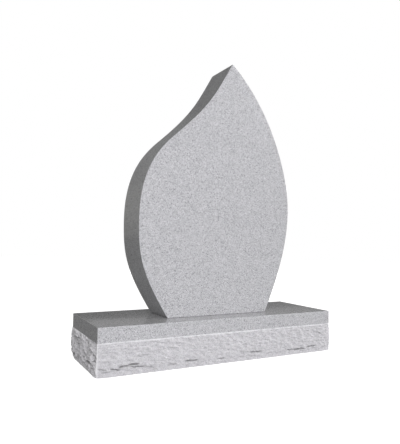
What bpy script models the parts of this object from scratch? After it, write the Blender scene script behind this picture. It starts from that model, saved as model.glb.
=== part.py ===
"""A flame-shaped upright headstone of grey granite on a rock-pitched base.

X runs along the front, Y from the front to the back, Z up, in metres. The origin
is the centre of the base's underside, on the ground.
"""

import math
import random

import bmesh
import bpy
from mathutils import Vector, geometry, noise

# The base block, measured at its smooth margin.
BASE_LENGTH = 0.914
BASE_DEPTH = 0.3048
BASE_HEIGHT = 0.149
MARGIN_HEIGHT = 0.0475

# The upright tablet. Its middle stands a little to the right of the base's middle, and its
# foot reaches to each side of the tablet's middle.
TABLET_WIDTH = 0.617
TABLET_HEIGHT = 0.9166
TABLET_THICKNESS = 0.1524
TABLET_SHIFT = 0.004
FOOT_TO_RIGHT = 0.2033
FOOT_TO_LEFT = 0.1984
BELLY_HEIGHT_RIGHT = 0.3833
BELLY_HEIGHT_LEFT = 0.3324
TIP_SHIFT = 0.0454

# The left edge turns from hollow to round here, in shares of half the width and of the height.
TURN_ACROSS = 0.566
TURN_UP = 0.693

# Eased edges of the smooth faces, and the gap that the touching stones keep.
ARRIS = 0.0015
SEAT_GAP = 0.0003
POINTS_PER_CURVE = 26
SHARP_ANGLE = math.radians(30)

# The rock pitch swells out below the margin to a ridge, and draws in again to the foot,
# more at the two ends. No break stands out further than the limit.
STANDOUT_LIMIT = 0.0115
BULGE = 0.0102
FOOT_STANDOUT = 0.0060
END_FOOT_STANDOUT = 0.0010
RIDGE_DOWN = 0.064
RIDGE_WANDER = 0.010
RIDGE_WANDER_LENGTH = 0.160
SWELL_ROUNDNESS = 0.7
SWELL_FALL = 1.1
WAVE_HEIGHT = 0.0020
WAVE_LENGTH = 0.055
WAVE_ROUGHNESS = 0.9
WAVE_LACUNARITY = 2.1
WAVE_OCTAVES = 3

# A thin lip steps out right under the margin.
LIP_STANDOUT = 0.0026
LIP_HEIGHT = 0.0035
LIP_WANDER = 0.5
LIP_WANDER_LENGTH = 0.018

# Towards a corner the faces flatten. The corners stand out less than the faces do.
CORNER_TAPER = 0.045
FRONT_CORNER_STANDOUT = 0.0025
BACK_CORNER_STANDOUT = 0.0050
CORNER_PHASES = (0.05, 0.85)

# Shallow shells struck down from the margin, side by side.
SHELL_SPACING = 0.085
SHELL_RADIUS = 0.100
SHELL_JITTER = 0.38
SHELL_STEEPNESS = (0.8, 1.35)
SHELL_CURVE = 1.1

# Ledges where the stone broke away. Each row is the place of the ledge's middle along its face
# from the left, the height of its brow, its half width, its depth, and how steeply it rises.
FRONT_LEDGES = (
    (0.015, 0.028, 0.014, 0.0034, -0.17),
    (0.027, 0.018, 0.014, 0.0034, 0.04),
    (0.056, 0.024, 0.018, 0.0042, -0.19),
    (0.081, 0.032, 0.019, 0.0044, 0.15),
    (0.112, 0.037, 0.021, 0.0050, 0.04),
    (0.127, 0.026, 0.026, 0.0040, -0.07),
    (0.166, 0.020, 0.018, 0.0032, -0.27),
    (0.148, 0.058, 0.026, 0.0030, -0.02),
    (0.247, 0.021, 0.016, 0.0034, -0.08),
    (0.314, 0.026, 0.028, 0.0046, -0.04),
    (0.431, 0.019, 0.014, 0.0034, -0.10),
    (0.522, 0.034, 0.022, 0.0030, -0.05),
    (0.567, 0.030, 0.027, 0.0042, -0.04),
    (0.720, 0.022, 0.020, 0.0040, -0.17),
    (0.762, 0.0215, 0.030, 0.0046, 0.00),
    (0.819, 0.027, 0.027, 0.0040, 0.05),
    (0.849, 0.076, 0.023, 0.0032, -0.32),
)
LEFT_LEDGES = (
    (0.036, 0.026, 0.024, 0.0050, -0.20),
    (0.071, 0.082, 0.046, 0.0040, 0.10),
    (0.101, 0.038, 0.020, 0.0062, -0.40),
    (0.112, 0.065, 0.036, 0.0038, 0.10),
    (0.143, 0.032, 0.026, 0.0062, -0.10),
    (0.187, 0.040, 0.020, 0.0058, -0.10),
    (0.194, 0.092, 0.024, 0.0042, -0.65),
    (0.240, 0.038, 0.048, 0.0058, 0.09),
    (0.271, 0.073, 0.034, 0.0044, -0.49),
    (0.292, 0.050, 0.014, 0.0044, 0.00),
)
LEDGE_SPACING = 0.050
LEDGE_HEIGHTS = (0.014, 0.036)
LEDGE_HALF_WIDTHS = (0.016, 0.034)
LEDGE_DEPTHS = (0.0030, 0.0048)
LEDGE_SLOPE = 0.15
LEDGE_FADE = 0.030
LEDGE_BLUNTNESS = 4
LEDGE_SHARE_AT_CORNERS = 0.5
BROW_THICKNESS = 0.0026
BROW_WANDER = 0.0022
BROW_WANDER_LENGTH = 0.014

# The foot of the front left corner flares out.
FLARE_REACH = 0.050
FLARE_STANDOUT = 0.0035

# Spacing of the mesh on the pitched faces: round the block, and down it in shares of its height.
PITCH_COLUMN = 0.0115
PITCH_ROWS = (0.0, 0.035, 0.11, 0.21, 0.32, 0.43, 0.54, 0.63, 0.69, 0.74, 0.79, 0.85, 0.92, 1.0)
SEED = 36


def smoothstep(low, high, value):
    """0 below low, 1 above high, and a smooth rise between them."""
    share = min(1.0, max(0.0, (value - low) / (high - low)))
    return share * share * (3.0 - 2.0 * share)


def wander(length, *places):
    """A smooth chance value between about -1 and 1, which changes over the length."""
    return noise.noise(Vector([place / length for place in places] + [SEED] * (3 - len(places))))


def granite(name, colour, roughness):
    """A stone material with the colour and polish of one finish."""
    material = bpy.data.materials.new(name)
    material.use_nodes = True
    shader = material.node_tree.nodes["Principled BSDF"]
    shader.inputs["Base Color"].default_value = (*colour, 1.0)
    shader.inputs["Roughness"].default_value = roughness
    shader.inputs["Metallic"].default_value = 0.0
    return material


def new_object(name, mesh, material):
    mesh.materials.append(material)
    obj = bpy.data.objects.new(name, mesh)
    bpy.context.scene.collection.objects.link(obj)
    return obj


def heading(degrees):
    return Vector((math.cos(math.radians(degrees)), math.sin(math.radians(degrees))))


def tablet_outline():
    """The face's outline from the foot's right corner round over the tip to its left corner."""
    half = TABLET_WIDTH / 2
    height = TABLET_HEIGHT
    # Each stop: point, heading in degrees, pull of the handle before it and after it in
    # shares of the height. The outline keeps its heading through a stop, but not at the tip.
    stops = [
        ((FOOT_TO_RIGHT, 0.0), 66.3, 0.0, 0.082),
        ((half, BELLY_HEIGHT_RIGHT), 90.0, 0.175, 0.145),
        ((TIP_SHIFT, height), 140.7, 0.263, 0.0),
        ((TIP_SHIFT, height), 240.2, 0.0, 0.145),
        ((-half * TURN_ACROSS, height * TURN_UP), 221.9, 0.196, 0.081),
        ((-half, BELLY_HEIGHT_LEFT), 270.0, 0.197, 0.130),
        ((-FOOT_TO_LEFT, 0.0), 302.7, 0.202, 0.0),
    ]
    outline = [Vector(stops[0][0])]
    for before, after in zip(stops, stops[1:]):
        start, end = Vector(before[0]), Vector(after[0])
        if start == end:
            continue
        leave = start + heading(before[1]) * before[3] * height
        arrive = end - heading(after[1]) * after[2] * height
        outline += geometry.interpolate_bezier(start, leave, arrive, end, POINTS_PER_CURVE)[1:]
    return outline


def make_tablet(material):
    """The upright slab: the flame outline drawn out to its thickness, with its edges eased."""
    front = -TABLET_THICKNESS / 2
    foot = BASE_HEIGHT + SEAT_GAP
    shape = bmesh.new()
    corners = [shape.verts.new((p.x + TABLET_SHIFT, front, p.y + foot)) for p in tablet_outline()]
    face = shape.faces.new(corners)
    drawn = bmesh.ops.extrude_face_region(shape, geom=[face])
    moved = [item for item in drawn["geom"] if isinstance(item, bmesh.types.BMVert)]
    bmesh.ops.translate(shape, verts=moved, vec=(0.0, TABLET_THICKNESS, 0.0))
    bmesh.ops.recalc_face_normals(shape, faces=shape.faces)
    mesh = bpy.data.meshes.new("tablet")
    shape.to_mesh(mesh)
    shape.free()
    mesh.shade_smooth()
    mesh.set_sharp_from_angle(angle=SHARP_ANGLE)
    tablet = new_object("tablet", mesh, material)
    eased = tablet.modifiers.new("eased edges", "BEVEL")
    eased.width = ARRIS
    eased.segments = 2
    eased.limit_method = "ANGLE"
    eased.angle_limit = SHARP_ANGLE
    return tablet


def perimeter():
    return 2 * (BASE_LENGTH + BASE_DEPTH)


def corner_distances():
    """How far round the block each corner is, from the front left corner anticlockwise."""
    return (0.0, BASE_LENGTH, BASE_LENGTH + BASE_DEPTH, 2 * BASE_LENGTH + BASE_DEPTH)


def on_an_end(along):
    """Whether a distance round the block lies on its right or left end."""
    corners = corner_distances()
    return corners[1] < along < corners[2] or along > corners[3]


def around(a, b):
    """The shorter way round the block between two distances."""
    gap = abs(a - b) % perimeter()
    return min(gap, perimeter() - gap)


def scatter(start, end, spacing, rng):
    """Places from start to end about one spacing apart, each pushed aside at random."""
    count = max(2, round((end - start) / spacing))
    step = (end - start) / count
    return [start + (i + 0.5 + rng.uniform(-SHELL_JITTER, SHELL_JITTER)) * step for i in range(count)]


def struck_shells(rng):
    """Where each shell starts on the margin, and how steeply it runs outwards."""
    places = scatter(0.0, perimeter(), SHELL_SPACING, rng)
    return [(place, rng.uniform(*SHELL_STEEPNESS)) for place in places]


def foot_ledges(rng):
    """Every ledge round the block: those that are placed by hand, then chance ones."""
    left_end = 2 * BASE_LENGTH + BASE_DEPTH
    ledges = list(FRONT_LEDGES)
    ledges += [(left_end + place, *sizes) for place, *sizes in LEFT_LEDGES]
    for place in scatter(BASE_LENGTH, left_end, LEDGE_SPACING, rng):
        sizes = [rng.uniform(*limits) for limits in (LEDGE_HEIGHTS, LEDGE_HALF_WIDTHS, LEDGE_DEPTHS)]
        ledges.append((place, *sizes, rng.uniform(-LEDGE_SLOPE, LEDGE_SLOPE)))
    return ledges


def near_column(along, things, reach):
    """The shells or ledges that can touch the column at this distance round the block."""
    return [thing for thing in things if around(along, thing[0]) < reach]


def swell(along, down, height):
    """The broad form of the pitched face, before anything is broken out of it."""
    ridge = RIDGE_DOWN + RIDGE_WANDER * wander(RIDGE_WANDER_LENGTH, along)
    rise = math.sin(0.5 * math.pi * min(1.0, down / ridge)) ** SWELL_ROUNDNESS
    fall = smoothstep(ridge, height * SWELL_FALL, down)
    spot = Vector((along / WAVE_LENGTH, down / WAVE_LENGTH, SEED))
    wave = WAVE_HEIGHT * noise.fractal(spot, WAVE_ROUGHNESS, WAVE_LACUNARITY, WAVE_OCTAVES)
    lip = LIP_STANDOUT * (1 + LIP_WANDER * wander(LIP_WANDER_LENGTH, along)) * min(1.0, down / LIP_HEIGHT)
    foot = END_FOOT_STANDOUT if on_an_end(along) else FOOT_STANDOUT
    return max(lip, (BULGE + wave) * rise * (1 - fall) + foot * fall)


def under_brow(along, above_ground, ledge):
    """How far below the ledge's brow a point is, and how near it is to the ledge's middle."""
    place, height, half_width, depth, slope = ledge
    aside = around(along, place) / half_width
    rise = slope * math.remainder(along - place, perimeter())
    brow = height + rise + BROW_WANDER * wander(BROW_WANDER_LENGTH, along, height)
    return brow - above_ground, max(0.0, 1.0 - aside**LEDGE_BLUNTNESS)


def ledge_cut(along, above_ground, ledges):
    """How much the ledges take away, most of it right under their brows."""
    cut = 0.0
    for ledge in ledges:
        under, middle = under_brow(along, above_ground, ledge)
        if under > 0.0:
            fade = max(0.0, 1.0 - under / LEDGE_FADE)
            cut = max(cut, ledge[3] * middle * fade * min(1.0, under / BROW_THICKNESS))
    return cut


def pitch_relief(along, down, height, shells, ledges):
    """How far the pitched face stands out, at a distance round the block and below the margin."""
    surface = swell(along, down, height)
    for place, steepness in shells:
        reach = math.hypot(around(along, place), down) / SHELL_RADIUS
        shell = LIP_STANDOUT * min(1.0, down / LIP_HEIGHT) + BULGE * steepness * reach**SHELL_CURVE
        surface = min(surface, shell)
    nearest = min(corner_distances(), key=lambda corner: around(along, corner))
    corner = 1.0 - smoothstep(0.0, CORNER_TAPER, around(along, nearest))
    standout = FRONT_CORNER_STANDOUT if nearest in (0.0, BASE_LENGTH) else BACK_CORNER_STANDOUT
    start, end = CORNER_PHASES
    standout *= math.sin(math.pi * (start + (end - start) * down / height))
    surface = surface * (1 - corner) + standout * corner
    surface -= ledge_cut(along, height - down, ledges) * (1 - corner * (1 - LEDGE_SHARE_AT_CORNERS))
    from_corner = math.hypot(around(along, 0.0), height - down) / FLARE_REACH
    surface += FLARE_STANDOUT * max(0.0, 1.0 - from_corner)
    return min(surface, STANDOUT_LIMIT) if down > 0 else 0.0


def point_around(along):
    """The margin's outline at a distance round it, and the way that it faces there."""
    half_length, half_depth = BASE_LENGTH / 2, BASE_DEPTH / 2
    corners = corner_distances()
    sides = [
        (Vector((-half_length, -half_depth)), Vector((1, 0)), Vector((0, -1))),
        (Vector((half_length, -half_depth)), Vector((0, 1)), Vector((1, 0))),
        (Vector((half_length, half_depth)), Vector((-1, 0)), Vector((0, 1))),
        (Vector((-half_length, half_depth)), Vector((0, -1)), Vector((-1, 0))),
    ]
    side = max(i for i in range(4) if corners[i] <= along)
    start, run, out = sides[side]
    if along == corners[side]:
        out = out + sides[side - 1][2]
    return start + run * (along - corners[side]), out


def columns():
    """Distances round the block, evenly spaced on each side, with one at every corner."""
    places = []
    corners = [*corner_distances(), perimeter()]
    for start, end in zip(corners, corners[1:]):
        count = max(4, round((end - start) / PITCH_COLUMN))
        places += [start + (end - start) * i / count for i in range(count)]
    return places


def clamp(value, most):
    return max(-most, min(most, value))


def make_base(material):
    """The block: a smooth top and margin over rock-pitched sides, and a flat underside."""
    rng = random.Random(SEED)
    shells = struck_shells(rng)
    ledges = foot_ledges(rng)
    height = BASE_HEIGHT - MARGIN_HEIGHT
    shape = bmesh.new()
    rings = [[] for _ in range(2 + len(PITCH_ROWS))]
    for along in columns():
        spot, out = point_around(along)
        near_shells = near_column(along, shells, 2 * SHELL_RADIUS)
        near_ledges = near_column(along, ledges, BASE_DEPTH / 2)
        top_x = clamp(spot.x, BASE_LENGTH / 2 - ARRIS)
        top_y = clamp(spot.y, BASE_DEPTH / 2 - ARRIS)
        rings[0].append(shape.verts.new((top_x, top_y, BASE_HEIGHT)))
        rings[1].append(shape.verts.new((spot.x, spot.y, BASE_HEIGHT - ARRIS)))
        for ring, share in zip(rings[2:], PITCH_ROWS):
            place = spot + out * pitch_relief(along, share * height, height, near_shells, near_ledges)
            ring.append(shape.verts.new((place.x, place.y, height * (1 - share))))
    count = len(rings[0])
    for upper, lower in zip(rings, rings[1:]):
        for i in range(count):
            j = (i + 1) % count
            shape.faces.new((upper[i], lower[i], lower[j], upper[j]))
    bmesh.ops.triangulate(shape, faces=shape.faces)
    shape.faces.new(rings[0])
    shape.faces.new(reversed(rings[-1]))
    bmesh.ops.recalc_face_normals(shape, faces=shape.faces)
    mesh = bpy.data.meshes.new("base")
    shape.to_mesh(mesh)
    shape.free()
    return new_object("base", mesh, material)


def main():
    for obj in list(bpy.data.objects):
        bpy.data.objects.remove(obj, do_unlink=True)
    smooth = granite("smooth grey granite", (0.47, 0.47, 0.48), 0.35)
    pitched = granite("rock-pitched grey granite", (0.60, 0.60, 0.61), 0.85)
    make_tablet(smooth)
    make_base(pitched)


main()
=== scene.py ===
"""The looks of a flame-shaped upright headstone of pale grey granite.

The tablet is sawn and honed. The base has a polished top and margin over rock-pitched
sides. Everything is in metres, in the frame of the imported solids: X along the front,
Y from the front to the back, Z up, with the origin under the middle of the base.
"""

import math
import random

import bmesh
import bpy
from bpy.props import FloatProperty, IntProperty, PointerProperty, StringProperty
from mathutils import Matrix, Vector, geometry, noise


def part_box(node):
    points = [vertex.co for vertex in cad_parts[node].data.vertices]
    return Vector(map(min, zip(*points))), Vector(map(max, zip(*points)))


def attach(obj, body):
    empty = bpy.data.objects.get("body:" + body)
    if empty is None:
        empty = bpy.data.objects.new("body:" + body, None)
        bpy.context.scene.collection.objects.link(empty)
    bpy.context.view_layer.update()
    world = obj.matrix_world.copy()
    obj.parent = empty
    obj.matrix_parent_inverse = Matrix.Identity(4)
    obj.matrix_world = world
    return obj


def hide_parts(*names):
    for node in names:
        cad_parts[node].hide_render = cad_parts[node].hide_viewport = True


bl_info = {
    "name": "Flame headstone",
    "version": (1, 0, 0),
    "blender": (4, 5, 0),
    "location": "3D View > Sidebar > Headstone",
    "description": "A honed granite tablet on a rock-pitched base",
    "category": "Object",
}

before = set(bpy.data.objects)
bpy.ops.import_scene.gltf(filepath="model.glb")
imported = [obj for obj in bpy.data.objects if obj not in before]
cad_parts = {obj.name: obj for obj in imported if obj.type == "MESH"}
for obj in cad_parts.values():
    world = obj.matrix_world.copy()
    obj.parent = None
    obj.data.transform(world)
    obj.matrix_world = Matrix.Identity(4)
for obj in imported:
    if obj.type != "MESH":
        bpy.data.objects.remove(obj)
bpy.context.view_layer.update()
TABLET_LOW, TABLET_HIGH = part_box("tablet")
BASE_LOW, BASE_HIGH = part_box("base")
MM = 0.001


# Camera, worked out from the corners of the two stones in the photograph

CAMERA_PLACE = (-0.8682, -1.5452, 0.4150)
CAMERA_YAW = 28.31
CAMERA_PITCH = 2.18
CAMERA_ROLL = 0.98
FOCAL_LENGTH_PIXELS = 474.6
IMAGE_WIDTH = 400
IMAGE_HEIGHT = 444
SENSOR_LONG_SIDE = 36.0


# Outline of the tablet's face. Across and up are shares of half the width and of the height,
# headings are degrees from level, and pulls of the handles are shares of the height.

FOOT_ACROSS_RIGHT = 0.659
FOOT_ACROSS_LEFT = 0.643
TIP_ACROSS = 0.147
BELLY_UP_RIGHT = 0.418
BELLY_UP_LEFT = 0.363
TURN_ACROSS = 0.566
TURN_UP = 0.693
POINTS_PER_CURVE = 72
# From the foot's right corner round over the tip to its left corner. Each row is the place
# across and up, the heading there, and the pulls of the handles before and after it. The tip
# is a corner, so that it has two rows.
OUTLINE_STOPS = (
    ((FOOT_ACROSS_RIGHT, 0.0), 66.3, 0.0, 0.082),
    ((1.0, BELLY_UP_RIGHT), 90.0, 0.175, 0.145),
    ((TIP_ACROSS, 1.0), 140.7, 0.263, 0.0),
    ((TIP_ACROSS, 1.0), 240.2, 0.0, 0.145),
    ((-TURN_ACROSS, TURN_UP), 221.9, 0.196, 0.081),
    ((-1.0, BELLY_UP_LEFT), 270.0, 0.197, 0.130),
    ((-FOOT_ACROSS_LEFT, 0.0), 302.7, 0.202, 0.0),
)
# The arris is rounded in this many facets, along the edges that turn by more than the angle.
ARRIS_FACETS = 3
EDGE_ANGLE = math.radians(30)
# The base's arris, rounded by hand: how far round its quarter turn each ring of points lies
ARRIS_TURNS = (0.0, math.pi / 6, math.pi / 3, math.pi / 2)


# The pitched faces, as the solid has them

BASE_LENGTH = 0.914
BASE_DEPTH = 0.3048
# The rock pitch swells out below the margin to a ridge, and draws in again to the foot,
# more at the two ends. No break stands out further than the limit.
STANDOUT_LIMIT = 0.0115
BULGE = 0.0102
FOOT_STANDOUT = 0.0060
END_FOOT_STANDOUT = 0.0010
RIDGE_DOWN = 0.064
RIDGE_WANDER = 0.010
RIDGE_WANDER_LENGTH = 0.160
SWELL_ROUNDNESS = 0.7
SWELL_FALL = 1.1
WAVE_HEIGHT = 0.0020
WAVE_LENGTH = 0.055
WAVE_ROUGHNESS = 0.9
WAVE_LACUNARITY = 2.1
WAVE_OCTAVES = 3

# A thin lip steps out right under the margin.
LIP_STANDOUT = 0.0026
LIP_HEIGHT = 0.0035
LIP_WANDER = 0.5
LIP_WANDER_LENGTH = 0.018

# Towards a corner the faces flatten. The corners stand out less than the faces do.
CORNER_TAPER = 0.045
FRONT_CORNER_STANDOUT = 0.0025
BACK_CORNER_STANDOUT = 0.0050
# How far a corner stands out follows a half wave down the face, between these two phases.
CORNER_PHASES = (0.05, 0.85)

# Shallow shells struck down from the margin, side by side.
SHELL_SPACING = 0.085
SHELL_RADIUS = 0.100
SHELL_JITTER = 0.38
SHELL_STEEPNESS = (0.8, 1.35)
SHELL_CURVE = 1.1

# Ledges where the stone broke away. Each row is the place of the ledge's middle along its face
# from the left, the height of its brow, its half width, its depth, and how steeply it rises.
FRONT_LEDGES = (
    (0.015, 0.028, 0.014, 0.0034, -0.17),
    (0.027, 0.018, 0.014, 0.0034, 0.04),
    (0.056, 0.024, 0.018, 0.0042, -0.19),
    (0.081, 0.032, 0.019, 0.0044, 0.15),
    (0.112, 0.037, 0.021, 0.0050, 0.04),
    (0.127, 0.026, 0.026, 0.0040, -0.07),
    (0.166, 0.020, 0.018, 0.0032, -0.27),
    (0.148, 0.058, 0.026, 0.0030, -0.02),
    (0.247, 0.021, 0.016, 0.0034, -0.08),
    (0.314, 0.026, 0.028, 0.0046, -0.04),
    (0.431, 0.019, 0.014, 0.0034, -0.10),
    (0.522, 0.034, 0.022, 0.0030, -0.05),
    (0.567, 0.030, 0.027, 0.0042, -0.04),
    (0.720, 0.022, 0.020, 0.0040, -0.17),
    (0.762, 0.0215, 0.030, 0.0046, 0.00),
    (0.819, 0.027, 0.027, 0.0040, 0.05),
    (0.849, 0.076, 0.023, 0.0032, -0.32),
)
LEFT_LEDGES = (
    (0.036, 0.026, 0.024, 0.0050, -0.20),
    (0.071, 0.082, 0.046, 0.0040, 0.10),
    (0.101, 0.038, 0.020, 0.0062, -0.40),
    (0.112, 0.065, 0.036, 0.0038, 0.10),
    (0.143, 0.032, 0.026, 0.0062, -0.10),
    (0.187, 0.040, 0.020, 0.0058, -0.10),
    (0.194, 0.092, 0.024, 0.0042, -0.65),
    (0.240, 0.038, 0.048, 0.0058, 0.09),
    (0.271, 0.073, 0.034, 0.0044, -0.49),
    (0.292, 0.050, 0.014, 0.0044, 0.00),
)
LEDGE_SPACING = 0.050
LEDGE_HEIGHTS = (0.014, 0.036)
LEDGE_HALF_WIDTHS = (0.016, 0.034)
LEDGE_DEPTHS = (0.0030, 0.0048)
LEDGE_SLOPE = 0.15
LEDGE_FADE = 0.030
LEDGE_BLUNTNESS = 4
LEDGE_SHARE_AT_CORNERS = 0.5
BROW_THICKNESS = 0.0026
BROW_WANDER = 0.0022
BROW_WANDER_LENGTH = 0.014

# The foot of the front left corner flares out.
FLARE_REACH = 0.050
FLARE_STANDOUT = 0.0035

PITCH_SEED = 36

# What only the fine mesh shows: terraces of the break, which slope their own way on each side.
# Where there are four values, they are for the front, the right end, the back and the left end.
# Slopes are in degrees.

BEDDING_SLOPES = (-1.0, 20.0, -4.0, 28.0)
STRATA_STEP_HEIGHTS = (1.0 * MM, 1.6 * MM, 1.1 * MM, 2.4 * MM)
STRATA_LENGTH = 0.060
STRATA_THICKNESS = 0.017
STRATA_ROUGHNESS = 0.8
STRATA_LACUNARITY = 2.0
STRATA_OCTAVES = 3
STRATA_STEPS = 3.0
STRATA_EDGE = 0.16
STRATA_BIAS = -0.4
CORNER_EASE = 0.4 * MM
# The small breaks are longer along the bedding than across it.
BREAK_FLATNESS = (3.2, 3.6, 3.2, 3.6)
CORNER_CALM = 20 * MM
CORNER_BREAKS = 0.2
# The underside is sawn, so that the breaks die out above its edge.
FOOT_CALM = 12 * MM
# How strong the small breaks are: the long faces are broken a little more roughly than the ends.
FACE_ROUGHNESS = 2.7
END_ROUGHNESS = 2.2
# The small breaks' own detail, and the levels at which they neither rise nor sink
GRIT_DETAIL = 1.5
GRIT_ROUGHNESS = 0.55
MIDDLE_LEVEL = 0.5
SCOOP_LEVEL = 0.6
# The feet of the left end's two corners are chipped. Each row is the chip's place round the
# block, its reach and its depth.
FOOT_CHIPS = (
    (0.0, 14 * MM, 4.6 * MM),
    (2 * BASE_LENGTH + BASE_DEPTH, 42 * MM, 6.5 * MM),
)
# Painted shade darkens the stone right under the brows of the deeper ledges. The shade reaches down
# by this many depths of its ledge, and it deepens with the ledge between the two depths.
SHADE_SPREAD = 1.5
SHADED_FROM = 2.2 * MM
SHADED_FULLY = 4.0 * MM


# Shares of the granite's grains: up to the first is dark mica, then grey quartz, then feldspar,
# and the rest is the whitest feldspar

MICA_SHARE = 0.10
QUARTZ_SHARE = 0.40
FELDSPAR_SHARE = 0.82
# How often a grain's outline bends over its width, and how dull each finish is
BENDS_PER_GRAIN = 0.6
HONED_ROUGHNESS = 0.25
POLISHED_ROUGHNESS = 0.06
BROKEN_ROUGHNESS = 0.85
GRANITE_IOR = 1.5
CRYSTAL_ROUGHNESS = 1.6 * MM
CRYSTAL_BUMP = 0.8 * MM

# Right under the margin, and down the corners, the pitching tool crushed the stone white; the
# whitening there is also a painted highlight, where the lip and the corner edges catch the light.
BRUISE_AND_HIGHLIGHT_HEIGHT = 5.0 * MM
BRUISE_AND_HIGHLIGHT_WHITENING = 0.5
CORNER_BRUISE_AND_HIGHLIGHT_WIDTH = 3.0 * MM
CORNER_BRUISE_AND_HIGHLIGHT_WHITENING = 0.55
CRUSHED_WHITE_AND_HIGHLIGHT = (0.9, 0.9, 0.9, 1.0)


# The studio. Directions are in degrees: the azimuth, from straight in front to the right, and
# the elevation. Spreads are degrees too. The soft lights are squares, all at one distance from
# the middle of the stone.

NEUTRAL = (1.0, 1.0, 1.0)
WARM = (1.0, 1.0, 0.88)
COOL = (1.0, 0.995, 1.05)
WHITE = (1.0, 1.0, 1.0, 1.0)
STAGE_MIDDLE = Vector((0.0, 0.0, 0.4))
LIGHT_DISTANCE = 4.5
LIGHT_SIDE = 2.5
KEY_WAY = (-16, 13)
RIGHT_WAY = (60, 35)
BACK_WAY = (155, 8)
STRIP_BEHIND = 1.3
STRIP_UP = 0.975
STRIP_SIZE = (5.0, 1.2)
WIDE_GLOW = 42
NARROW_GLOW = 16
FLOOR_RADIUS = 9.0
FLOOR_SIDES = 96
FLOOR_GREY = (0.42, 0.42, 0.42, 1.0)


def linear(code):
    """An sRGB hex colour as linear red, green, blue and alpha."""
    shares = [int(code[i : i + 2], 16) / 255 for i in (1, 3, 5)]
    return (*(s / 12.92 if s <= 0.04045 else ((s + 0.055) / 1.055) ** 2.4 for s in shares), 1.0)


def add_node(tree, kind, inputs=(), **settings):
    """Add one node; each input's value is a constant or the output socket that feeds it."""
    node = tree.nodes.new(kind)
    for name, value in settings.items():
        setattr(node, name, value)
    for key, value in dict(inputs).items():
        if isinstance(value, bpy.types.NodeSocket):
            tree.links.new(value, node.inputs[key])
        else:
            node.inputs[key].default_value = value
    return node


def maths(tree, operation, first, second, kind="ShaderNodeMath"):
    """The output of one maths node that takes two values."""
    return add_node(tree, kind, {0: first, 1: second}, operation=operation).outputs[0]


def vector_maths(tree, operation, first, second):
    return maths(tree, operation, first, second, "ShaderNodeVectorMath")


def scaled(tree, vector, factor):
    inputs = {0: vector, "Scale": factor}
    return add_node(tree, "ShaderNodeVectorMath", inputs, operation="SCALE").outputs[0]


def mixed(tree, share, first, second):
    """The colour that lies a share of the way from the first to the second."""
    inputs = {"Factor": share, 6: first, 7: second}
    return add_node(tree, "ShaderNodeMix", inputs, data_type="RGBA").outputs[2]


def camera_rays(tree):
    """One for what the camera looks at straight, and nought for what only lights the stone."""
    return add_node(tree, "ShaderNodeLightPath").outputs["Is Camera Ray"]


def add_mesh(name, shape, materials=()):
    """Turn a bmesh into an object of the scene, in world coordinates."""
    mesh = bpy.data.meshes.new(name)
    shape.to_mesh(mesh)
    shape.free()
    for material in materials:
        mesh.materials.append(material)
    piece = bpy.data.objects.new(name, mesh)
    bpy.context.scene.collection.objects.link(piece)
    return piece


def smoothstep(low, high, value):
    """Nought up to the low value, one from the high value, and a soft rise between them."""
    share = min(1.0, max(0.0, (value - low) / (high - low)))
    return share * share * (3.0 - 2.0 * share)


def wander(length, *places):
    """A smooth chance value between about -1 and 1, which changes over the length."""
    spot = [place / length for place in places]
    return noise.noise(Vector(spot + [PITCH_SEED] * (3 - len(places))))


def length(label, note, value):
    return FloatProperty(name=label, description=note, default=value, unit="LENGTH")


def amount(label, note, value):
    return FloatProperty(name=label, description=note, default=value)


def hex_colour(label, note, value):
    return StringProperty(name=label, description=note, default=value)


class HeadstoneSizes(bpy.types.PropertyGroup):
    """Sizes of the finish that the solids don't hold."""

    arris: length("Arris", "Width of the eased edges", 1.5 * MM)
    margin: length("Margin", "Height of the smooth band round the base", 47.5 * MM)
    cell: length("Mesh cell", "Spacing of the pitched faces' points", 1.8 * MM)
    grit_size: length("Grit size", "Width of the small breaks", 10.0 * MM)
    grit_height: length("Grit height", "Height of the small breaks", 3.2 * MM)
    scoop_size: length("Scoop size", "Width of the scooped breaks", 19.0 * MM)
    scoop_depth: length("Scoop depth", "Depth of the scooped breaks", 6.5 * MM)
    crystal_size: length("Crystal size", "Width of the broken crystals", 4.0 * MM)
    crystal_height: length("Crystal height", "How unevenly the crystals broke", 0.8 * MM)
    seed: IntProperty(name="Seed", description="Choice of the small breaks", default=7)


class HeadstoneColours(bpy.types.PropertyGroup):
    """Colours of the granite's minerals, as sRGB hex values."""

    white: hex_colour("White feldspar", "Whitest grains", "#cacacb")
    feldspar: hex_colour("Feldspar", "Pale grains", "#b9b9ba")
    quartz: hex_colour("Quartz", "Grey, glassy grains", "#a8a8a9")
    mica: hex_colour("Mica", "Dark flecks", "#858586")
    broken_white: hex_colour("Broken white", "Whitest crushed grains", "#d4d3d4")
    broken_feldspar: hex_colour("Broken feldspar", "Crushed grains", "#cbcacb")
    broken_quartz: hex_colour("Broken quartz", "Crushed grey grains", "#c1c0c1")
    broken_mica: hex_colour("Broken mica", "Flecks on the break", "#aeadae")
    # Painted shade: the grey that the stone is darkened to right under the ledges' brows
    painted_brow_shade: hex_colour("Painted brow shade", "Stone under the brows", "#747473")
    grain: length("Grain", "Width of a mineral grain", 2.0 * MM)


class HeadstoneStage(bpy.types.PropertyGroup):
    """The studio light."""

    key_power: amount("Key", "Soft light in front, in watts", 188.0)
    right_power: amount("Right light", "Upper right, in watts", 73.0)
    back_power: amount("Back light", "Low at the back right, in watts", 46.0)
    strip_power: amount("Strip", "Wide light behind, in watts", 2.4)
    front_glow: amount("Front glow", "Pale wall at the front left", 0.32)
    left_glow: amount("Left glow", "Pale ceiling at the left", 0.25)
    back_glow: amount("Back glow", "Pale wall behind", 0.12)
    right_glow: amount("Right glow", "Pale wall at the back right", 0.07)
    window_glow: amount("Window glow", "Narrow glow at the back left", 0.26)


def stage_settings():
    return bpy.context.scene.headstone_stage


def colours():
    return bpy.context.scene.headstone_colours


def sizes():
    return bpy.context.scene.headstone_sizes


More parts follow.
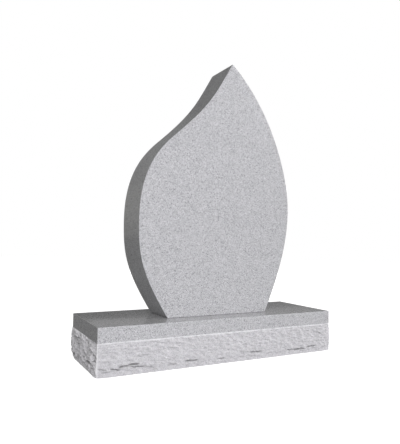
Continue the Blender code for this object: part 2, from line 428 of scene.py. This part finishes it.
def granite(name, minerals, roughness):
    """A fine-grained granite: each grain is a bent Voronoi cell that takes one mineral's colour."""
    grain = colours().grain
    material = bpy.data.materials.new(name)
    material.use_nodes = True
    tree = material.node_tree
    shader = tree.nodes["Principled BSDF"]
    place = add_node(tree, "ShaderNodeTexCoord").outputs["Object"]
    bend_inputs = {"Vector": place, "Scale": BENDS_PER_GRAIN / grain, "Detail": 1.0}
    bend = add_node(tree, "ShaderNodeTexNoise", bend_inputs)
    push = vector_maths(tree, "MULTIPLY", bend.outputs["Color"], (grain,) * 3)
    bent = vector_maths(tree, "ADD", place, push)
    cells = add_node(tree, "ShaderNodeTexVoronoi", {"Vector": bent, "Scale": 1.0 / grain})
    chance = add_node(tree, "ShaderNodeSeparateColor", {0: cells.outputs["Color"]})
    ramp = add_node(tree, "ShaderNodeValToRGB", {0: chance.outputs[0]})
    ramp.color_ramp.interpolation = "CONSTANT"
    starts = (0.0, MICA_SHARE, QUARTZ_SHARE, FELDSPAR_SHARE)
    while len(ramp.color_ramp.elements) < len(starts):
        ramp.color_ramp.elements.new(1.0)
    for element, start, colour in zip(ramp.color_ramp.elements, starts, minerals):
        element.position = start
        element.color = linear(colour)
    tree.links.new(ramp.outputs["Color"], shader.inputs["Base Color"])
    shader.inputs["Roughness"].default_value = roughness
    shader.inputs["IOR"].default_value = GRANITE_IOR
    return material


def smooth_granite(name, roughness):
    paint = colours()
    return granite(name, (paint.mica, paint.quartz, paint.feldspar, paint.white), roughness)


def honed_granite():
    """Granite rubbed smooth: an even, dry sheen over the grain."""
    return smooth_granite("honed granite", HONED_ROUGHNESS)


def polished_granite():
    """The same granite, polished: it mirrors softly at a low angle."""
    return smooth_granite("polished granite", POLISHED_ROUGHNESS)


def broken_granite():
    """The same granite, broken with a pitching tool: crushed, whiter crystals with no shine."""
    paint = colours()
    minerals = (paint.broken_mica, paint.broken_quartz, paint.broken_feldspar, paint.broken_white)
    material = granite("rock-pitched granite", minerals, BROKEN_ROUGHNESS)
    tree = material.node_tree
    shader = tree.nodes["Principled BSDF"]
    shader.inputs["Diffuse Roughness"].default_value = 1.0
    place = add_node(tree, "ShaderNodeTexCoord").outputs["Object"]
    # The whitening under the margin and down the corners is crushed stone and partly a painted
    # highlight.
    bruise_and_highlight_mask = add_node(tree, "ShaderNodeAttribute", attribute_name="bruised_and_highlit").outputs["Fac"]
    grains = shader.inputs["Base Color"].links[0].from_socket
    whitened = mixed(tree, bruise_and_highlight_mask, grains, CRUSHED_WHITE_AND_HIGHLIGHT)
    # Painted shade under the ledges' brows darkens the grains towards the painted shade colour.
    shade = add_node(tree, "ShaderNodeAttribute", attribute_name="shaded").outputs["Fac"]
    tree.links.new(mixed(tree, shade, whitened, linear(paint.painted_brow_shade)), shader.inputs["Base Color"])
    rough_inputs = {"Vector": place, "Scale": 1 / CRYSTAL_ROUGHNESS, "Detail": 2.0}
    rough = add_node(tree, "ShaderNodeTexNoise", rough_inputs)
    bump_inputs = {"Height": rough.outputs[0], "Distance": CRYSTAL_BUMP, "Strength": 1.0}
    bump = add_node(tree, "ShaderNodeBump", bump_inputs)
    tree.links.new(bump.outputs[0], shader.inputs["Normal"])
    return material


def heading(degrees):
    """The way along the face at an angle from level."""
    return Vector((math.cos(math.radians(degrees)), math.sin(math.radians(degrees))))


def tablet_outline():
    """The face's outline, from the foot's right corner round over the tip to its left corner."""
    half = (TABLET_HIGH.x - TABLET_LOW.x) / 2
    middle = (TABLET_HIGH.x + TABLET_LOW.x) / 2
    foot = TABLET_LOW.z
    height = TABLET_HIGH.z - foot
    outline = []
    for before, after in zip(OUTLINE_STOPS, OUTLINE_STOPS[1:]):
        if before[0] == after[0]:
            continue
        start = Vector((before[0][0] * half, before[0][1] * height))
        end = Vector((after[0][0] * half, after[0][1] * height))
        leave = start + heading(before[1]) * before[3] * height
        arrive = end - heading(after[1]) * after[2] * height
        curve = geometry.interpolate_bezier(start, leave, arrive, end, POINTS_PER_CURVE)
        outline += curve[1:] if outline else curve
    return [Vector((middle + p.x, foot + p.y)) for p in outline]


class HEADSTONE_OT_tablet(bpy.types.Operator):
    """Make the honed tablet over its solid"""

    bl_idname = "headstone.tablet"
    bl_label = "Tablet"

    def execute(self, context):
        shape = bmesh.new()
        front, back = TABLET_LOW.y, TABLET_HIGH.y
        face = shape.faces.new([shape.verts.new((p.x, front, p.y)) for p in tablet_outline()])
        drawn = bmesh.ops.extrude_face_region(shape, geom=[face])
        moved = [item for item in drawn["geom"] if isinstance(item, bmesh.types.BMVert)]
        bmesh.ops.translate(shape, verts=moved, vec=(0.0, back - front, 0.0))
        bmesh.ops.recalc_face_normals(shape, faces=shape.faces)
        piece = add_mesh("tablet_stone", shape, [honed_granite()])
        piece.data.shade_smooth()
        piece.data.set_sharp_from_angle(angle=EDGE_ANGLE)
        eased = piece.modifiers.new("arris", "BEVEL")
        eased.width = sizes().arris
        eased.segments = ARRIS_FACETS
        eased.limit_method = "ANGLE"
        eased.angle_limit = EDGE_ANGLE
        eased.harden_normals = True
        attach(piece, "root")
        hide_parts("tablet")
        return {"FINISHED"}


def perimeter():
    """The distance once round the block's margin."""
    return 2 * (BASE_LENGTH + BASE_DEPTH)


def corner_distances():
    """How far round the block each corner is, from the front left corner anticlockwise."""
    return (0.0, BASE_LENGTH, BASE_LENGTH + BASE_DEPTH, 2 * BASE_LENGTH + BASE_DEPTH)


def on_an_end(along):
    """Whether a distance round the block lies on its right or left end."""
    corners = corner_distances()
    return corners[1] < along < corners[2] or along > corners[3]


def around(a, b):
    """The shorter way round the block between two distances."""
    gap = abs(a - b) % perimeter()
    return min(gap, perimeter() - gap)


def scatter(start, end, spacing, rng):
    """Places from start to end about one spacing apart, each pushed aside at random."""
    count = max(2, round((end - start) / spacing))
    step = (end - start) / count
    shares = [i + 0.5 + rng.uniform(-SHELL_JITTER, SHELL_JITTER) for i in range(count)]
    return [start + share * step for share in shares]


def struck_shells(rng):
    """Where each shell starts on the margin, and how steeply it runs outwards."""
    places = scatter(0.0, perimeter(), SHELL_SPACING, rng)
    return [(place, rng.uniform(*SHELL_STEEPNESS)) for place in places]


def foot_ledges(rng):
    """Every ledge round the block: those that are listed, then chance ones."""
    left_end = 2 * BASE_LENGTH + BASE_DEPTH
    ledges = list(FRONT_LEDGES)
    ledges += [(left_end + place, *form) for place, *form in LEFT_LEDGES]
    for place in scatter(BASE_LENGTH, left_end, LEDGE_SPACING, rng):
        form = [rng.uniform(*limits) for limits in (LEDGE_HEIGHTS, LEDGE_HALF_WIDTHS, LEDGE_DEPTHS)]
        ledges.append((place, *form, rng.uniform(-LEDGE_SLOPE, LEDGE_SLOPE)))
    return ledges


def near_column(along, things, reach):
    """The shells or ledges that can touch the column at this distance round the block."""
    return [thing for thing in things if around(along, thing[0]) < reach]


def swell(along, down, height):
    """The broad form of the pitched face, before anything is broken out of it."""
    ridge = RIDGE_DOWN + RIDGE_WANDER * wander(RIDGE_WANDER_LENGTH, along)
    rise = math.sin(0.5 * math.pi * min(1.0, down / ridge)) ** SWELL_ROUNDNESS
    fall = smoothstep(ridge, height * SWELL_FALL, down)
    spot = Vector((along / WAVE_LENGTH, down / WAVE_LENGTH, PITCH_SEED))
    wave = WAVE_HEIGHT * noise.fractal(spot, WAVE_ROUGHNESS, WAVE_LACUNARITY, WAVE_OCTAVES)
    lip = LIP_STANDOUT * (1 + LIP_WANDER * wander(LIP_WANDER_LENGTH, along))
    lip *= min(1.0, down / LIP_HEIGHT)
    foot = END_FOOT_STANDOUT if on_an_end(along) else FOOT_STANDOUT
    return max(lip, (BULGE + wave) * rise * (1 - fall) + foot * fall)


def under_brow(along, above_ground, ledge):
    """How far below the ledge's brow a point is, and how near it is to the ledge's middle."""
    place, height, half_width, _, slope = ledge
    aside = around(along, place) / half_width
    rise = slope * math.remainder(along - place, perimeter())
    brow = height + rise + BROW_WANDER * wander(BROW_WANDER_LENGTH, along, height)
    return brow - above_ground, max(0.0, 1.0 - aside**LEDGE_BLUNTNESS)


def ledge_cut(along, above_ground, ledges):
    """How much the ledges take away, most of it right under their brows."""
    cut = 0.0
    for ledge in ledges:
        under, middle = under_brow(along, above_ground, ledge)
        depth = ledge[3]
        if under > 0.0:
            fade = max(0.0, 1.0 - under / LEDGE_FADE)
            cut = max(cut, depth * middle * fade * min(1.0, under / BROW_THICKNESS))
    return cut


def brow_shade(along, above_ground, ledges):
    """How dark the painted shade right under the brows is, from 0 to 1."""
    shade = 0.0
    for ledge in ledges:
        under, middle = under_brow(along, above_ground, ledge)
        depth = ledge[3]
        share = under / (SHADE_SPREAD * depth)
        if 0.0 < share < 1.0:
            strength = min(1.0, max(0.0, depth - SHADED_FROM) / (SHADED_FULLY - SHADED_FROM))
            shade = max(shade, strength * middle * math.sin(math.pi * share))
    return shade


def pitch_relief(along, down, height, shells, ledges):
    """How far the pitched face stands out, at a distance round the block and below the margin."""
    surface = swell(along, down, height)
    for place, steepness in shells:
        reach = math.hypot(around(along, place), down) / SHELL_RADIUS
        shell = LIP_STANDOUT * min(1.0, down / LIP_HEIGHT) + BULGE * steepness * reach**SHELL_CURVE
        surface = min(surface, shell)
    nearest = min(corner_distances(), key=lambda corner: around(along, corner))
    corner = 1.0 - smoothstep(0.0, CORNER_TAPER, around(along, nearest))
    standout = FRONT_CORNER_STANDOUT if nearest in (0.0, BASE_LENGTH) else BACK_CORNER_STANDOUT
    start, end = CORNER_PHASES
    standout *= math.sin(math.pi * (start + (end - start) * down / height))
    surface = surface * (1 - corner) + standout * corner
    surface -= ledge_cut(along, height - down, ledges) * (1 - corner * (1 - LEDGE_SHARE_AT_CORNERS))
    from_corner = math.hypot(around(along, 0.0), height - down) / FLARE_REACH
    surface += FLARE_STANDOUT * max(0.0, 1.0 - from_corner)
    return min(surface, STANDOUT_LIMIT) if down > 0 else 0.0


def point_around(along):
    """The margin's outline at a distance round it, and the way that it faces there."""
    half_length, half_depth = BASE_LENGTH / 2, BASE_DEPTH / 2
    corners = corner_distances()
    sides = [
        (Vector((-half_length, -half_depth)), Vector((1, 0)), Vector((0, -1))),
        (Vector((half_length, -half_depth)), Vector((0, 1)), Vector((1, 0))),
        (Vector((half_length, half_depth)), Vector((-1, 0)), Vector((0, 1))),
        (Vector((-half_length, half_depth)), Vector((0, -1)), Vector((-1, 0))),
    ]
    side = max(i for i in range(4) if corners[i] <= along)
    start, run, out = sides[side]
    if along == corners[side]:
        out = out + sides[side - 1][2]
    return start + run * (along - corners[side]), out


def columns(cell):
    """Distances round the block, evenly spaced on each side, with one at every corner."""
    places = []
    corners = [*corner_distances(), perimeter()]
    for start, end in zip(corners, corners[1:]):
        count = max(4, round((end - start) / cell))
        places += [start + (end - start) * i / count for i in range(count)]
    return places


# The geometry nodes' inputs that size the small breaks, and the settings that feed them
BREAK_SIZES = {
    "Grit Size": "grit_size",
    "Grit Height": "grit_height",
    "Scoop Size": "scoop_size",
    "Scoop Depth": "scoop_depth",
    "Crystal Size": "crystal_size",
    "Crystal Height": "crystal_height",
}
# Every input of the geometry nodes, by the type of its socket
RELIEF_INPUTS = (
    ("NodeSocketGeometry", ("Geometry",)),
    ("NodeSocketFloat", BREAK_SIZES),
    ("NodeSocketInt", ("Seed",)),
    ("NodeSocketVector", ("Lowest", "Highest")),
    ("NodeSocketMaterial", ("Smooth Finish", "Broken Finish")),
)


def stored(tree, name, data_type):
    """An attribute that the mesh brings along."""
    inputs = {0: name}
    return add_node(tree, "GeometryNodeInputNamedAttribute", inputs, data_type=data_type).outputs[0]


def small_breaks(tree, given):
    """How far the grit, the scoops and the broken crystals push the surface out."""
    bed = stored(tree, "bed", "FLOAT_VECTOR")
    place = add_node(tree, "GeometryNodeInputPosition").outputs[0]

    def texture(kind, spot, size, **more):
        scale = maths(tree, "DIVIDE", 1.0, given[size])
        inputs = {"Vector": spot, "W": given["Seed"], "Scale": scale, **more}
        dimensions = "noise_dimensions" if kind == "ShaderNodeTexNoise" else "voronoi_dimensions"
        return add_node(tree, kind, inputs, **{dimensions: "4D"}).outputs

    def rise(level, middle, height):
        return maths(tree, "MULTIPLY", maths(tree, "SUBTRACT", level, middle), given[height])

    grit = texture(
        "ShaderNodeTexNoise", bed, "Grit Size", Detail=GRIT_DETAIL, Roughness=GRIT_ROUGHNESS
    )
    scoops = texture("ShaderNodeTexVoronoi", bed, "Scoop Size")
    crystals = texture("ShaderNodeTexVoronoi", place, "Crystal Size")
    pick = add_node(tree, "FunctionNodeSeparateColor", {0: crystals["Color"]}).outputs[0]
    grit_rise = rise(grit[0], MIDDLE_LEVEL, "Grit Height")
    crystal_rise = rise(pick, MIDDLE_LEVEL, "Crystal Height")
    small = maths(tree, "ADD", grit_rise, crystal_rise)
    return maths(tree, "ADD", small, rise(scoops["Distance"], SCOOP_LEVEL, "Scoop Depth"))


def relief_tree():
    """Geometry nodes that break the pitched faces up finely and give each zone its finish."""
    tree = bpy.data.node_groups.new("fine breaks", "GeometryNodeTree")
    tree.is_modifier = True
    ports = tree.interface
    for socket_type, names in RELIEF_INPUTS:
        for name in names:
            ports.new_socket(name, in_out="INPUT", socket_type=socket_type)
    ports.new_socket("Geometry", in_out="OUTPUT", socket_type="NodeSocketGeometry")
    given = add_node(tree, "NodeGroupInput").outputs
    held = maths(tree, "MULTIPLY", small_breaks(tree, given), stored(tree, "broken", "FLOAT"))
    push = scaled(tree, stored(tree, "outward", "FLOAT_VECTOR"), held)
    offset_inputs = {"Geometry": given["Geometry"], "Offset": push}
    moved = add_node(tree, "GeometryNodeSetPosition", offset_inputs).outputs[0]
    place = add_node(tree, "GeometryNodeInputPosition").outputs[0]
    above = vector_maths(tree, "MAXIMUM", place, given["Lowest"])
    inside = vector_maths(tree, "MINIMUM", above, given["Highest"])
    kept = add_node(tree, "GeometryNodeSetPosition", {"Geometry": moved, "Position": inside})
    real = add_node(tree, "GeometryNodeRealizeInstances", {"Geometry": kept.outputs[0]})
    smooth_inputs = {"Geometry": real.outputs[0], "Material": given["Smooth Finish"]}
    smooth = add_node(tree, "GeometryNodeSetMaterial", smooth_inputs)
    rough_inputs = {
        "Geometry": smooth.outputs[0],
        "Selection": stored(tree, "pitched", "BOOLEAN"),
        "Material": given["Broken Finish"],
    }
    rough = add_node(tree, "GeometryNodeSetMaterial", rough_inputs)
    add_node(tree, "NodeGroupOutput", {0: rough.outputs[0]})
    return tree


def set_input(modifier, name, value):
    """Set a geometry nodes input by the identifier of its socket."""
    for item in modifier.node_group.interface.items_tree:
        if item.item_type == "SOCKET" and item.in_out == "INPUT" and item.name == name:
            modifier[item.identifier] = value
            return
    raise KeyError(name)


def realised(piece):
    """Replace the piece's mesh with what its modifiers make of it, and drop the modifiers."""
    evaluated = piece.evaluated_get(bpy.context.evaluated_depsgraph_get())
    mesh = bpy.data.meshes.new_from_object(evaluated)
    piece.modifiers.clear()
    old = piece.data
    piece.data = mesh
    bpy.data.meshes.remove(old)
    mesh.name = piece.name
    return piece


def bruise_and_highlight(along, down):
    """How far the crushed stone is whitened, with a painted highlight on the lip and the corners,
    from 0 to 1.
    """
    nearest = min(around(along, corner) for corner in corner_distances())
    under_margin = BRUISE_AND_HIGHLIGHT_WHITENING * max(0.0, 1.0 - down / BRUISE_AND_HIGHLIGHT_HEIGHT)
    at_corner = CORNER_BRUISE_AND_HIGHLIGHT_WHITENING * max(0.0, 1.0 - nearest / CORNER_BRUISE_AND_HIGHLIGHT_WIDTH)
    return max(under_margin, at_corner)


def side_at(along):
    """Which side of the block a distance round it lies on: front, right, back or left."""
    return max(i for i, corner in enumerate(corner_distances()) if corner <= along)


def bedding(along, down):
    """How far along and across the stone's bedding a point of the pitched faces lies."""
    slope = math.radians(BEDDING_SLOPES[side_at(along)])
    run = along * math.cos(slope) + down * math.sin(slope)
    rise = down * math.cos(slope) - along * math.sin(slope)
    return run, rise


def calm(along, down, height):
    """Where the small breaks die out: at the margin, the sawn foot and the corners."""
    nearest = min(around(along, corner) for corner in corner_distances())
    at_edges = smoothstep(0.0, LIP_HEIGHT, down) * smoothstep(0.0, FOOT_CALM, height - down)
    return at_edges * (CORNER_BREAKS + (1 - CORNER_BREAKS) * smoothstep(0.0, CORNER_CALM, nearest))


def foot_chips(along, above_ground):
    """How much the chips at the foot take away."""
    cut = 0.0
    for place, reach, depth in FOOT_CHIPS:
        away = math.hypot(around(along, place), above_ground) / reach
        cut += depth * max(0.0, 1.0 - away)
    return cut


def strata(along, down):
    """Small terraces, where the break jumped from one plane of weakness to the next."""
    side = side_at(along)
    run, rise = bedding(along, down)
    spot = Vector((run / STRATA_LENGTH, rise / STRATA_THICKNESS, PITCH_SEED + side))
    rough = noise.fractal(spot, STRATA_ROUGHNESS, STRATA_LACUNARITY, STRATA_OCTAVES)
    level = (rough + STRATA_BIAS) * STRATA_STEPS
    whole = math.floor(level)
    edge = smoothstep(0.5 - STRATA_EDGE, 0.5 + STRATA_EDGE, level - whole)
    return STRATA_STEP_HEIGHTS[side] * (whole + edge)


def block_shape(cell, arris, margin):
    """The base block as a closed mesh, its pitched faces finely divided."""
    rng = random.Random(PITCH_SEED)
    shells = struck_shells(rng)
    ledges = foot_ledges(rng)
    top = BASE_HIGH.z
    height = top - margin
    shape = bmesh.new()
    outward = shape.verts.layers.float_vector.new("outward")
    broken = shape.verts.layers.float.new("broken")
    shaded = shape.verts.layers.float.new("shaded")
    bruised_and_highlit = shape.verts.layers.float.new("bruised_and_highlit")
    bed = shape.verts.layers.float_vector.new("bed")
    pitched = shape.faces.layers.bool.new("pitched")
    easing = [(1 - math.sin(turn), 1 - math.cos(turn)) for turn in ARRIS_TURNS]
    rows = round(height / cell)
    rings = [[] for _ in range(len(easing) + rows + 1)]
    for along in columns(cell):
        spot, out = point_around(along)
        side = side_at(along)
        roughness = END_ROUGHNESS if side in (1, 3) else FACE_ROUGHNESS
        if along in corner_distances():
            spot = spot - out * CORNER_EASE
        near_shells = near_column(along, shells, 2 * SHELL_RADIUS)
        near_ledges = near_column(along, ledges, BASE_DEPTH / 2)
        for ring, (inward, sunk) in zip(rings, easing):
            x = max(inward * arris - BASE_LENGTH / 2, min(BASE_LENGTH / 2 - inward * arris, spot.x))
            y = max(inward * arris - BASE_DEPTH / 2, min(BASE_DEPTH / 2 - inward * arris, spot.y))
            ring.append(shape.verts.new((x, y, top - sunk * arris)))
        for row, ring in enumerate(rings[len(easing) :]):
            down = height * row / rows
            hold = calm(along, down, height)
            relief = pitch_relief(along, down, height, near_shells, near_ledges)
            relief += hold * strata(along, down) - foot_chips(along, height - down)
            place = spot + out * relief
            vert = shape.verts.new((place.x, place.y, height - down))
            vert[outward] = (out.x, out.y, 0.0)
            run, rise = bedding(along, down)
            vert[bed] = (run, rise * BREAK_FLATNESS[side], side)
            vert[broken] = roughness * hold
            # Painted shade under the brows of the ledges
            vert[shaded] = brow_shade(along, height - down, near_ledges)
            # Crushed stone and painted highlight under the margin and down the corners
            vert[bruised_and_highlit] = bruise_and_highlight(along, down)
            ring.append(vert)
    count = len(rings[0])
    for level, (upper, lower) in enumerate(zip(rings, rings[1:])):
        for i in range(count):
            j = (i + 1) % count
            face = shape.faces.new((upper[i], lower[i], lower[j], upper[j]))
            face[pitched] = level >= len(easing)
            face.smooth = level >= len(easing)
    shape.faces.new(rings[0])
    shape.faces.new(reversed(rings[-1]))
    bmesh.ops.recalc_face_normals(shape, faces=shape.faces)
    return shape


class HEADSTONE_OT_base(bpy.types.Operator):
    """Make the rock-pitched base over its solid"""

    bl_idname = "headstone.base"
    bl_label = "Base"

    def execute(self, context):
        look = sizes()
        piece = add_mesh("base_stone", block_shape(look.cell, look.arris, look.margin))
        nodes = piece.modifiers.new("fine breaks", "NODES")
        nodes.node_group = relief_tree()
        for name, setting in BREAK_SIZES.items():
            set_input(nodes, name, getattr(look, setting))
        set_input(nodes, "Seed", look.seed)
        set_input(nodes, "Lowest", tuple(BASE_LOW))
        set_input(nodes, "Highest", tuple(BASE_HIGH))
        set_input(nodes, "Smooth Finish", polished_granite())
        set_input(nodes, "Broken Finish", broken_granite())
        realised(piece)
        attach(piece, "root")
        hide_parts("base")
        return {"FINISHED"}


def add_camera():
    """Place the camera as it was worked out from the photograph."""
    yaw, pitch, roll = (math.radians(a) for a in (CAMERA_YAW, CAMERA_PITCH, CAMERA_ROLL))
    out = math.cos(pitch)
    ahead = Vector((math.sin(yaw) * out, math.cos(yaw) * out, math.sin(pitch)))
    level = Vector((math.cos(yaw), -math.sin(yaw), 0.0))
    above = level.cross(ahead)
    right = level * math.cos(roll) + above * math.sin(roll)
    up = above * math.cos(roll) - level * math.sin(roll)
    camera = bpy.data.objects.new("camera", bpy.data.cameras.new("camera"))
    bpy.context.scene.collection.objects.link(camera)
    facing = Matrix((right, up, -ahead)).transposed().to_4x4()
    camera.matrix_world = Matrix.Translation(CAMERA_PLACE) @ facing
    camera.data.sensor_width = SENSOR_LONG_SIDE
    camera.data.lens = FOCAL_LENGTH_PIXELS * SENSOR_LONG_SIDE / max(IMAGE_WIDTH, IMAGE_HEIGHT)
    bpy.context.scene.camera = camera


def direction(azimuth, elevation):
    """The way to a place round the stone: azimuth runs from straight in front to the right."""
    turn, rise = math.radians(azimuth), math.radians(elevation)
    out = math.cos(rise)
    return Vector((math.sin(turn) * out, -math.cos(turn) * out, math.sin(rise)))


def add_area_light(name, place, aim, size, power, colour=NEUTRAL, mirrored=True):
    """A soft rectangular light; polished stone shows no image of one that isn't mirrored."""
    lamp = bpy.data.lights.new(name, "AREA")
    lamp.shape = "RECTANGLE"
    lamp.size, lamp.size_y = size
    lamp.energy = power
    lamp.color = colour
    light = bpy.data.objects.new(name, lamp)
    bpy.context.scene.collection.objects.link(light)
    light.location = place
    light.rotation_euler = (Vector(aim) - Vector(place)).to_track_quat("-Z", "Y").to_euler()
    light.visible_camera = False
    light.visible_glossy = mirrored


def add_soft_light(name, way, power, **more):
    """A square light that faces the middle of the stone."""
    place = STAGE_MIDDLE + LIGHT_DISTANCE * direction(*way)
    add_area_light(name, place, STAGE_MIDDLE, (LIGHT_SIDE, LIGHT_SIDE), power, **more)


def add_surroundings():
    """A white backdrop for the camera; the stone sees a dim studio with a few pale walls."""
    stage = stage_settings()
    world = bpy.data.worlds.new("studio")
    world.use_nodes = True
    tree = world.node_tree
    tree.nodes.clear()
    way = add_node(tree, "ShaderNodeTexCoord").outputs["Generated"]
    glows = (
        ((-30, 32), WIDE_GLOW, stage.front_glow, WARM),
        ((-90, 60), WIDE_GLOW, stage.left_glow, WARM),
        ((168, 20), WIDE_GLOW, stage.back_glow, NEUTRAL),
        ((120, 5), WIDE_GLOW, stage.right_glow, NEUTRAL),
        ((-155, 8), NARROW_GLOW, stage.window_glow, WARM),
    )
    total = (0.0, 0.0, 0.0)
    for towards, spread, strength, tint in glows:
        dot_inputs = {0: way, 1: direction(*towards)}
        nearness = add_node(tree, "ShaderNodeVectorMath", dot_inputs, operation="DOT_PRODUCT")
        edge = math.cos(math.radians(spread))
        glow = add_node(
            tree,
            "ShaderNodeMapRange",
            {0: nearness.outputs["Value"], 1: edge, 2: 1.0, 3: 0.0, 4: strength},
            interpolation_type="SMOOTHSTEP",
        )
        total = vector_maths(tree, "ADD", total, scaled(tree, tint, glow.outputs[0]))
    studio = add_node(tree, "ShaderNodeBackground", {"Color": total, "Strength": 1.0}).outputs[0]
    seen = add_node(tree, "ShaderNodeBackground", {"Color": WHITE, "Strength": 1.0}).outputs[0]
    both = add_node(tree, "ShaderNodeMixShader", {0: camera_rays(tree), 1: studio, 2: seen})
    add_node(tree, "ShaderNodeOutputWorld", {0: both.outputs[0]})
    bpy.context.scene.world = world


def pale_floor():
    """Matt card that glows where the camera looks at it, so that it runs into the backdrop."""
    material = bpy.data.materials.new("pale floor")
    material.use_nodes = True
    tree = material.node_tree
    tree.nodes.clear()
    card = add_node(tree, "ShaderNodeBsdfDiffuse", {"Color": FLOOR_GREY}).outputs[0]
    glow = add_node(tree, "ShaderNodeEmission", {"Color": WHITE, "Strength": 1.0}).outputs[0]
    bright = add_node(tree, "ShaderNodeAddShader", {0: card, 1: glow}).outputs[0]
    both = add_node(tree, "ShaderNodeMixShader", {0: camera_rays(tree), 1: card, 2: bright})
    add_node(tree, "ShaderNodeOutputMaterial", {0: both.outputs[0]})
    return material


class HEADSTONE_OT_stage(bpy.types.Operator):
    """Make the floor, the light and the camera"""

    bl_idname = "headstone.stage"
    bl_label = "Stage"

    def execute(self, context):
        stage = stage_settings()
        add_camera()
        add_surroundings()
        add_soft_light("key", KEY_WAY, stage.key_power, colour=COOL, mirrored=False)
        add_soft_light("right light", RIGHT_WAY, stage.right_power)
        add_soft_light("back light", BACK_WAY, stage.back_power, mirrored=False)
        behind, ahead = (0.0, STRIP_BEHIND, STRIP_UP), (0.0, 0.0, STRIP_UP)
        add_area_light("strip", behind, ahead, STRIP_SIZE, stage.strip_power)
        shape = bmesh.new()
        bmesh.ops.create_circle(shape, cap_ends=True, segments=FLOOR_SIDES, radius=FLOOR_RADIUS)
        floor = add_mesh("floor", shape, [pale_floor()])
        bpy.context.scene.view_settings.view_transform = "Standard"
        return {"FINISHED"}


class HEADSTONE_PT_panel(bpy.types.Panel):
    """The headstone's sizes, colours and pieces"""

    bl_idname = "HEADSTONE_PT_panel"
    bl_label = "Headstone"
    bl_space_type = "VIEW_3D"
    bl_region_type = "UI"
    bl_category = "Headstone"

    def draw(self, context):
        for group in (sizes(), colours(), stage_settings()):
            box = self.layout.box()
            for name in group.__annotations__:
                box.prop(group, name)
        for operator in OPERATORS:
            self.layout.operator(operator.bl_idname)


OPERATORS = (HEADSTONE_OT_stage, HEADSTONE_OT_tablet, HEADSTONE_OT_base)
GROUPS = {
    "headstone_sizes": HeadstoneSizes,
    "headstone_colours": HeadstoneColours,
    "headstone_stage": HeadstoneStage,
}
CLASSES = (*GROUPS.values(), *OPERATORS, HEADSTONE_PT_panel)


def register():
    for item in CLASSES:
        bpy.utils.register_class(item)
    for name, group in GROUPS.items():
        setattr(bpy.types.Scene, name, PointerProperty(type=group))


def unregister():
    for name in GROUPS:
        delattr(bpy.types.Scene, name)
    for item in reversed(CLASSES):
        bpy.utils.unregister_class(item)


def main():
    register()
    bpy.ops.headstone.stage()
    bpy.ops.headstone.tablet()
    bpy.ops.headstone.base()


if __name__ == "__main__":
    main()
